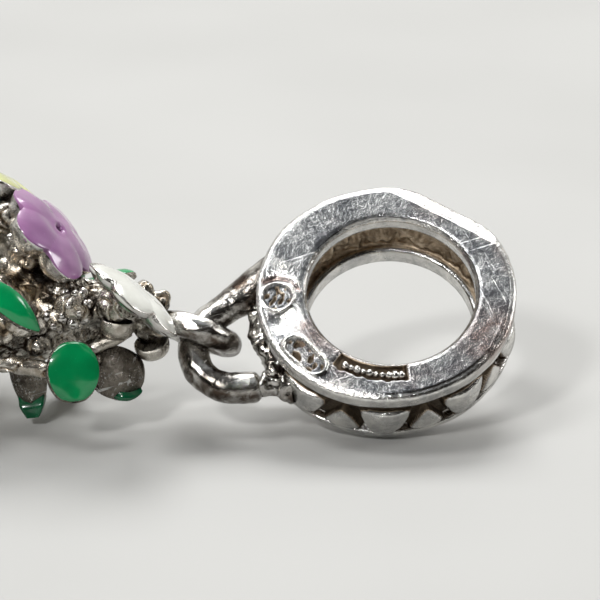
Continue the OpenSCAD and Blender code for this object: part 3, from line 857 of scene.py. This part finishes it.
def domeTop(x, y):
    return np.sqrt(flower["dome"] ** 2 - x ** 2 - y ** 2) - flower["dome"]


def cupUnder(x, y, deep):
    low = np.interp(petalGaps(x, y).min(0), *zip(*flower["under"]))
    low = np.minimum(low, np.where(np.hypot(x, y) < flower["heart"], flower["heartLow"], low))
    return flower["seat"] + (low - flower["seat"]) * deep


def enamelTop(x, y, s):  # domed petals, a pit in the middle, and a fall at the edge
    r = np.hypot(x, y)
    first, second = np.sort(petalGaps(x, y), 0)[:2]
    top = domeTop(x, y) + 0.04 + 0.04 * bell(first, 0.5)
    top = top - 0.008 * bell(second - first, 0.25) * ease(0.4, 0.8, r)
    top = top - 0.16 * bell(r, 0.09) + 0.02 * bell(r - 0.2, 0.08)
    return top - 0.1 * s ** 9


def flowerRing(edge, height):
    x, y = edge * np.cos(flowerTurn), edge * np.sin(flowerTurn)
    return np.stack([x, y, height(x, y)], -1)


def flowerCup(place, deep):
    full, rim, cell = flowerEdge(0), flower["rim"], flower["cell"]
    inner = flowerEdge(rim + 0.01)
    rows = []
    for s in np.sin(np.linspace(0.08, 1, 18) * math.pi / 2) * 0.99:  # underside
        rows.append(flowerRing(full * s, lambda x, y: cupUnder(x, y, deep)))
    for t in np.linspace(0.1, 0.9, 7):  # outer wall
        rows.append(flowerRing(full, lambda x, y: (cupUnder(x, y, deep) * (1 - t)
                                                   + (domeTop(x, y) - 0.015) * t)))
    for t in (0, 0.3, 0.7, 1):  # rim
        crest = 0.02 * math.sin(math.pi * t) - 0.012
        rows.append(flowerRing(flowerEdge(rim * t), lambda x, y: domeTop(x, y) + crest))
    for t in (0.3, 0.7, 1):  # inner wall
        rows.append(flowerRing(flowerEdge(rim + 0.01 * t), lambda x, y: domeTop(x, y) - cell * t))
    for s in (0.85, 0.6, 0.3, 0.08):  # floor of the cell
        rows.append(flowerRing(inner * s, lambda x, y: domeTop(x, y) - cell))
    low = flower["seat"] + (flower["heartLow"] - flower["seat"]) * deep
    points, faces = domeGrid(np.array(rows), (0, 0, low), (0, 0, -cell))
    points = points + 0.012 * ripple(points + place[:3, 3], 0.8, 21)[:, None] * unit((0.3, 0.4, 0.8))
    return put(points, place), faces


def flowerFill(place, over):  # over: how far the enamel runs onto the rim
    edge = smoothMax(flowerEdge(0.03 - 0.035 * over), 1.12, 0.1)
    rows = [flowerRing(edge * s, lambda x, y: domeTop(x, y) - 0.14) for s in (0.3, 0.7, 0.97)]
    for s in np.sin(np.linspace(1, 0.03, 34) * math.pi / 2):
        rows.append(flowerRing(edge * s, lambda x, y: enamelTop(x, y, s) + 0.08 * over * s ** 9))
    points, faces = domeGrid(np.array(rows), (0, 0, -0.14), (0, 0, enamelTop(np.zeros(1), np.zeros(1), 0)[0]))
    points[:, 2] += 0.012 * ripple(points, 0.9, 22)
    return put(points, place), faces


def stemTo(root, top, bow):
    root = np.array(root)
    return curveThrough([root, root * 0.5 + top * 0.5 + bow, top], 24)


cups, stems = [], []
for row in flowerRows:
    z = unit(row["face"])
    y = unit(np.cross(z, row["petal"]))
    m = potFrame @ axes(np.cross(y, z), y, z, row["at"])
    cups.append(flowerCup(m, row["deep"]))
    label = row["name"] + "Enamel"
    piece(label, meshFrom(label, *flowerFill(m, row["over"])), row["enamel"], row["slot"],
          row["name"] + "_enamel")
    stems.append((stemTo(row["root"], np.array(row["at"]) - 0.5 * z, (0.05, 0, 0.05)), 0.4))
piece("flowerCups", meshFrom("flowerCups", *joined(cups)), petalSilver, "silver")
print("flowers made")


# leaves: a thin bent plate with a rim, and domed enamel on one side

leafColumns = ("name", "at", "along", "face", "length", "width", "bend", "blunt", "hold", "root", "enamel")
leafRows = [dict(zip(leafColumns, row)) for row in (
    ("long", (-2.5, 1.17, 7.2), (-0.05, -0.66, 0.75), (-0.85, 0.35, 0.4), 2.3, 0.78, 2.4, 1.06, -0.2,
     (-0.9, 0.5, 6.6), greenEnamel),
    ("round", (-2.35, -0.8, 8.83), (0.33, 0.94, 0), (-0.9, 0.35, 0.25), 1.66, 1.44, 4.0, 1.12, 0,
     (-1.2, -0.9, 5.2), greenEnamel),
    ("back", (-1.0, -1.33, 9.85), (0.25, -0.45, 0.85), (0.72, -0.52, 0.42), 1.55, 1.4, 4.0, 1.6, -0.3,
     (-0.2, -0.3, 8.0), shadedGreen),
    ("foot", (-0.3, -1.45, 7.5), (-0.05, -1.33, 0.22), (0.93, 0.02, 0.15), 2.6, 1.02, 6.0, 1.12, -0.35,
     (0, -0.4, 7.3), shadedGreen),
    ("prop", (1.55, -1.84, 8.45), (0.32, -0.94, 0.05), (0.9, 0.3, 0.2), 1.96, 1.0, 6.0, 1.04, -0.35,
     (0.4, -0.4, 7.8), greenEnamel),
    ("top", (1.5, 0.5, 9.53), (0.35, 0.15, 0.92), (0.3, 0.93, -0.1), 1.6, 1.0, 3.0, 1.1, -0.2,
     (0, 0.2, 8.0), greenEnamel),
    ("side", (2.5, -0.9, 6.5), (0.75, -0.3, 0.6), (0.6, -0.2, 0.75), 1.9, 1.1, 3.0, 1, -0.25,
     (0.6, -0.2, 6.2), greenEnamel))]
leafRun = {"foot": (0.45, 0.8, 0), "back": (0.05, 0.45, 1)}  # where enamel ran over the edge: from, to, side
leafThick, leafRim, leafCell = 0.42, 0.06, 0.16


def leafHalf(leaf, x, shrink):  # half the leaf's width at a place along it
    length, width = leaf["length"], leaf["width"]
    lens = length * leaf["blunt"]
    r = (lens ** 2 + width ** 2) / (4 * width)
    a = np.sqrt(np.maximum((r - shrink) ** 2 - x ** 2, 0)) - (r - width / 2)
    b = np.sqrt(np.maximum((length / 2 - shrink) ** 2 - x ** 2, 0))
    return np.maximum(smoothMin(a, b, 0.02), 0)


def leafSolid(leaf, x, rows, place, size, seed):  # rows: side and height round the section, which is bent
    grid = []
    for y, height in rows:
        r = leaf["bend"] + height
        grid.append(np.stack([x, y, np.sqrt(r ** 2 - x ** 2) - leaf["bend"]], -1))
    points = np.stack(grid, 1)
    points, faces = domeGrid(points, points[0].mean(0), points[-1].mean(0))
    points[:, 2] += 0.01 * ripple(points, size, seed)
    return put(points, place), faces


def leafPlate(leaf, m):
    x = leaf["length"] / 2 * np.sin(np.linspace(-0.985, 0.985, 72) * math.pi / 2)
    full, cell = leafHalf(leaf, x, 0), leafHalf(leaf, x, leafRim)
    deep = leafCell * ease(0, 0.1, cell)
    rows = []
    for v in np.linspace(-1, 1, 15):  # back, thin at the outline, with a vein
        away = np.clip(np.hypot(2 * x / leaf["length"], v * 2 * full / leaf["width"]), 0, 1)
        thin = leafThick * (1 - 0.6 * away ** 2.2) - 0.05 + 0.05 * bell(v * full, 0.05) * (1 - away ** 4)
        rows.append((v * full, -thin))
    rows += [(full, 0 * x - 0.08), (full * 0.97, 0 * x), (cell, 0 * x)]
    rows += [(cell * v, -deep) for v in (0.98, 0.5, 0, -0.5, -0.98)]
    rows += [(-cell, 0 * x), (full * -0.97, 0 * x), (full * -1, 0 * x - 0.08)]
    return leafSolid(leaf, x, rows, m, 0.6, 31)


def leafFill(leaf, m):
    reach = leaf["length"] / 2 - leafRim + 0.02
    x = reach * np.sin(np.linspace(-0.985, 0.985, 64) * math.pi / 2)
    start, stop, side = leafRun.get(leaf["name"], (2, 3, 0))
    over = ease(start, stop, x / reach)
    half = leafHalf(leaf, x, leafRim - 0.02)
    wider = leafHalf(leaf, x, -0.02) - half
    rows = []
    for v in np.linspace(-1, 1, 9):  # underside
        run = over * ease(-0.1, 0.3, side * v) if side else over
        rows.append((v * (half * 0.97 + wider * run), -0.1 - 0.26 * run * (abs(v) > 0.7 if side else 1)))
    for v in np.sin(np.linspace(0.99, -0.99, 25) * math.pi / 2):  # dome
        run = over * ease(-0.1, 0.3, side * v) if side else over
        rows.append((v * (half + wider * run), 0.02 + 0.11 * np.clip(half / 0.3, 0, 1) * (1 - abs(v) ** 2.6)))
    return leafSolid(leaf, x, rows, m, 0.8, 33)


plates = []
for leaf in leafRows:
    x = unit(leaf["along"])
    y = unit(np.cross(leaf["face"], x))
    m = potFrame @ axes(x, y, np.cross(x, y), leaf["at"])
    plates.append(leafPlate(leaf, m))
    label = leaf["name"] + "LeafEnamel"
    piece(label, meshFrom(label, *leafFill(leaf, m)), leaf["enamel"], "green_enamel",
          leaf["name"] + "_leaf_enamel")
    hold = np.array(leaf["at"]) + leaf["hold"] * leaf["length"] * x - 0.25 * unit(leaf["face"])
    stems.append((stemTo(leaf["root"], hold, (-0.04, 0.03, 0.02)), 0.2))
piece("leafPlates", meshFrom("leafPlates", *joined(plates)), leafSilver, "silver")
print("leaves made")


# cast core: root plug, trunk, stems, neck and buds, melted into one

core = {"mouth": 2.4, "voxel": 0.05, "neck": 0.33, "neckRoot": (0, -0.15, 9.2), "neckWay": (-0.1, 0.25, -1),
        "plug": (4.3, 4.32, 5.0), "trunk": ((1.7, 5.6), (1.3, 7.6), (0.95, 9.2), (0.5, 10.2), (0.05, 10.3))}
buds = [((-1.2, 0.6, 8.78), 0.85), ((-1.25, 0.2, 8.35), 0.55), ((-0.1, 0.61, 10.55), 0.6),
        ((-0.1, 0.33, 10.98), 0.6), ((0.0, -0.4, 10.7), 0.8), ((-0.2, -0.25, 11.1), 0.7),
        ((0.3, 2.55, 6.9), 0.9),
        ((-0.5, 2.62, 7.35), 0.45), ((-0.2, 2.85, 7.4), 0.4), ((-1.5, 0.2, 7.4), 0.7),
        ((-1.25, -0.5, 7.9), 0.65),
        ((1.5, -0.5, 7.2), 0.7)]  # middle, diameter


def ballAt(middle, d):
    t = np.linspace(-0.98, 0.98, 13) * math.pi / 2
    points, faces = lathe([(d / 2 * math.cos(a), d / 2 * math.sin(a)) for a in t], 20)
    return points + np.array(middle), faces


def barAlong(path, radius):
    rows = []
    a = roundAngles(16)[:, None]
    for p, way in zip(path, np.gradient(path, axis=0)):
        z = unit(way)
        x = unit(np.cross(z, (0.3, 1, 0.2)))
        rows.append(p + radius * (np.cos(a) * x + np.sin(a) * np.cross(z, x)))
    return domeGrid(np.array(rows), path[0], path[-1])


def makeCore():
    eye = put([eyeletMiddle], np.linalg.inv(potFrame))[0]
    neck = [core["neckRoot"], eye + eyelet["radius"] * unit(core["neckWay"])]
    plug = core["mouth"] - 0.02
    low, chamfer, high = core["plug"]
    parts = [lathe([(0.05, low), (plug, chamfer), (plug, high)] + list(core["trunk"]), 64)]
    parts.append(barAlong(curveThrough(neck, 12), core["neck"]))
    parts += [ballAt(middle, d) for middle, d in buds]
    parts += [barAlong(path, radius) for path, radius in stems]
    points, faces = joined(parts)
    raw = bpy.data.meshes.new("coreParts")
    raw.from_pydata(points.tolist(), [], faces)
    obj = newObject("coreParts", raw)
    melt = obj.modifiers.new("melt", "REMESH")
    melt.mode, melt.voxel_size = "VOXEL", core["voxel"]
    soften = obj.modifiers.new("soften", "SMOOTH")
    soften.factor, soften.iterations = 0.6, 4
    done = plainMesh(obj)
    bpy.data.objects.remove(obj)
    co, no = pointsOf(done, 1)
    free = ease(5.2, 5.5, co[:, 2])  # the plug in the pot's mouth stays plain
    crease = bell(ripple(co, 0.95, 43), 0.16) * (1 - 0.5 * ease(-0.5, 0.5, ripple(co, 1.4, 44)))
    relief = 0.05 * ripple(co, 0.8, 41) + 0.01 * ripple(co, 0.25, 42) - 0.1 * crease
    co = co + no * (free * relief)[:, None]
    keepValues(done, "stainAndSheen", free * crease * 1.7)
    done.vertices.foreach_set("co", (put(co, potFrame) * mm).ravel())
    done.polygons.foreach_set("use_smooth", np.ones(len(done.polygons), bool))
    done.update()
    return done


piece("bouquetCore", makeCore(), castSilver, "silver", "bouquet")

smallCupRows = (((-0.6, -0.66, 10.82), (-0.3, 0.93, -0.2), 0.47, 0.09),  # place, way it opens, radius, wall
                ((-1.3, 0.18, 9.97), (0.1, 0.98, 0.1), 0.47, 0.1))


def openCup(place, way, radius, wall):  # a small hollow petal back
    inside = radius - wall
    outer = [(radius * math.sin(a), -radius * math.cos(a)) for a in np.radians(np.linspace(3, 100, 16))]
    inner = [(inside * math.sin(a), -inside * math.cos(a)) for a in np.radians(np.linspace(98, 3, 14))]
    points, faces = lathe(outer + inner, 48)
    points = points * (1 + 0.05 * ripple(points, 1.0, 71))[:, None]
    z = unit(way)
    x = unit(np.cross((0.2, 1, 0.1), z))
    return put(points, potFrame @ axes(x, np.cross(z, x), z, place)), faces


smallCups = [openCup(*row) for row in smallCupRows]
piece("smallCups", meshFrom("smallCups", *joined(smallCups)), backSilver, "silver")

leafRods = (([(-1.3, -0.92, 4.7), (-1.42, -0.95, 6.4), (-1.7, -0.93, 7.7), (-2.1, -0.85, 8.5)], 60, 0.16),
            ([(-1.15, -0.1, 10.3), (-1.35, -0.3, 9.8), (-1.5, -0.5, 9.2)], 30, 0.15))
rodPaths = []
for knots, count, radius in leafRods:
    path = put(curveThrough(knots, count), potFrame)
    rodPaths.append((path, roundEnds(path, radius * (1 + 0.08 * ripple(path, 0.5, 17))), False))
byNodes("leafRods", tubeTree, {"Sides": 20}, rodPaths, backSilver)

budBeads = ((0, 15, 0.14), (1, 7, 0.12))  # which bud, beads on it, their size
goldenTurn = 2.399963
beadSpots = []
for bud, count, size in budBeads:
    middle, d = buds[bud]
    for i in range(count):
        z = 1 - 2 * (i + 0.5) / count
        across = math.sqrt(1 - z * z)
        way = np.array([across * math.cos(goldenTurn * i), across * math.sin(goldenTurn * i), z])
        beadSpots.append((put([np.array(middle) + d / 2 * way], potFrame), size, False))
byNodes("budBeads", beadTree, {"Seed": 9, "Uneven": 0.5}, beadSpots, petalSilver)
print("core made")


# pot, lathe turned

pot = {"height": 5.2, "collar": 2.95, "collarHeight": 1.3, "taper": 0.35, "foot": 1.9, "wall": 0.55,
       "floor": 0.8, "around": 160, "row": 0.12}


def makePot():
    height, foot = pot["height"], pot["foot"]
    low, shoulder = height - pot["collarHeight"], pot["collar"] - pot["taper"]
    collar, mouth = pot["collar"] - 0.005, pot["collar"] - pot["wall"]
    corners = [(0.02, 0), (foot - 0.1, 0), (foot, 0.1), (shoulder - 0.01, low - 0.06), (shoulder + 0.06, low),
               (collar - 0.075, low), (collar, low + 0.09), (collar, height - 0.09),
               (collar - 0.085, height - 0.005), (mouth + 0.02, height - 0.005), (mouth, height - 0.08),
               (mouth, low), (foot - pot["wall"], pot["floor"]), (0.02, pot["floor"])]
    profile = []
    for (r, z), (r2, z2) in zip(corners, corners[1:]):
        steps = max(2, int(math.hypot(r2 - r, z2 - z) / pot["row"]))
        profile += [(r + (r2 - r) * t, z + (z2 - z) * t) for t in np.linspace(0, 1, steps, endpoint=False)]
    points, faces = lathe(profile + [corners[-1]], pot["around"])
    wall = np.hypot(points[:, 0], points[:, 1])
    sink = (0.5 + 0.5 * np.clip(ripple(points, 1.6, 51), -1, 1)) * 0.02 * ease(0.3, 1.5, wall)
    points[:, :2] *= (1 - sink / np.maximum(wall, 0.1))[:, None]
    return meshFrom("flowerPot", put(points, potFrame), faces)


piece("flowerPot", makePot(), potSilver, "silver", "pot")
print("pot made")


# how hidden each point is, for the dark oxide on the silver and painted shade on the enamel

hollows = {"rays": 10, "reach": 0.9, "lift": 0.015, "spread": 1.05, "seed": 61}


def bakeHollows():
    rays, reach = hollows["rays"], hollows["reach"]
    points, faces, first = [], [], 0
    for obj, _, _ in allPieces:
        mesh = obj.data
        points += [v.co / mm for v in mesh.vertices]
        faces += [[i + first for i in poly.vertices] for poly in mesh.polygons]
        first += len(mesh.vertices)
    tree = BVHTree.FromPolygons(points, faces)
    rng = np.random.default_rng(hollows["seed"])
    ways = rng.normal(size=(rays * 8, 3))
    ways /= np.linalg.norm(ways, axis=1)[:, None]
    for obj, _, _ in allPieces:
        mesh = obj.data
        no = pointsOf(mesh)[1]
        dirs = ways[rng.integers(0, len(ways), (len(no), rays))] + hollows["spread"] * no[:, None]
        dirs /= np.linalg.norm(dirs, axis=2)[..., None]
        hidden = np.zeros(len(no))
        for i, v in enumerate(mesh.vertices):
            start = Vector(v.co) / mm + Vector(no[i]) * hollows["lift"]
            for way in dirs[i]:
                hit = tree.ray_cast(start, Vector(way), reach)
                if hit[0] is not None:
                    hidden[i] += 1 - 0.5 * hit[3] / reach
        keepValues(mesh, "cavity", hidden / rays)


bakeHollows()
print("hollows baked")


# frame calls

for obj, slotName, nodes in allPieces:
    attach(obj, "root")
    if nodes:
        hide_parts(*nodes)


# floor, light and camera

floor = {"half": 0.9, "low": -0.00002, "shade": (0.43, 0.428, 0.413), "light": (0.46, 0.458, 0.443)}
lights = (("softBehind", (0.02, 0.2, 0.26), (0.004, 0, 0), 0.16, 0.8),  # name, place, aim, size, power
          ("softLeft", (-0.12, -0.02, 0.28), (0.004, 0, 0.003), 0.09, 0.3),
          ("softRight", (0.2, 0.02, 0.12), (0.004, 0, 0.003), 0.06, 0.12),
          ("softFront", (-0.09, -0.17, 0.16), (-0.002, 0, 0.003), 0.03, 0.3))
sky = {"front": (0.03, 0.027, 0.024), "back": (0.78, 0.77, 0.74), "above": (0.36, 0.375, 0.39)}
view = {"aim": (0.0044854, -0.00034, 0.0033768), "back": (0, -0.1036904, 0.0367191), "tilt": 70.5,
        "lens": 248.8}


def makeFloor():
    mesh = bpy.data.meshes.new("paleFloor")
    half, low = floor["half"], floor["low"]
    corners = [(-half, -half, low), (half, -half, low), (half, half, low), (-half, half, low)]
    mesh.from_pydata(corners, [], [[0, 1, 2, 3]])
    mat, tree, shader, place = startMaterial("paleFloor")
    mix, ramp, noise = toolsFor(tree, mixColour, rampNode, noiseNode)
    soft = ramp(noise(place, 60.0, 2.0), 0.3, 0.7)
    link(tree, mix(soft, floor["shade"], floor["light"]), shader["Base Color"])
    shader["Roughness"].default_value = 0.75
    mesh.materials.append(mat)
    newObject("paleFloor", mesh)


def areaLight(name, place, aim, size, power):
    light = bpy.data.lights.new(name, "AREA")
    light.shape, light.size, light.energy = "SQUARE", size, power
    obj = newObject(name, light)
    obj.location = place
    obj.rotation_euler = (Vector(aim) - Vector(place)).to_track_quat("-Z", "Y").to_euler()


def makeSky():  # dark towards the viewer, bright behind the charm, grey above
    world = bpy.data.worlds.new("studio")
    bpy.context.scene.world = world
    world.use_nodes = True
    tree = world.node_tree
    way, parts = newNodes(tree, "ShaderNodeTexCoord", "ShaderNodeSeparateXYZ")
    link(tree, way.outputs["Generated"], parts.inputs[0])
    mix, ramp = toolsFor(tree, mixColour, rampNode)
    tone = mix(ramp(parts.outputs["Y"], -0.25, 0.75), sky["front"], sky["back"])
    tone = mix(ramp(parts.outputs["Z"], 0.75, 1.0), tone, sky["above"])
    link(tree, tone, tree.nodes["Background"].inputs["Color"])
    tree.nodes["Background"].inputs["Strength"].default_value = 1.0


def makeCamera():
    data = bpy.data.cameras.new("camera")
    data.sensor_width, data.lens = 36, view["lens"]
    data.clip_start, data.clip_end = 0.005, 5
    camera = newObject("camera", data)
    camera.location = [aim + back for aim, back in zip(view["aim"], view["back"])]
    camera.rotation_euler = (math.radians(view["tilt"]), 0, 0)
    bpy.context.scene.camera = camera


makeFloor()
for row in lights:
    areaLight(*row)
makeSky()
makeCamera()
bpy.context.scene.view_settings.view_transform = "Standard"
print("stage ready")
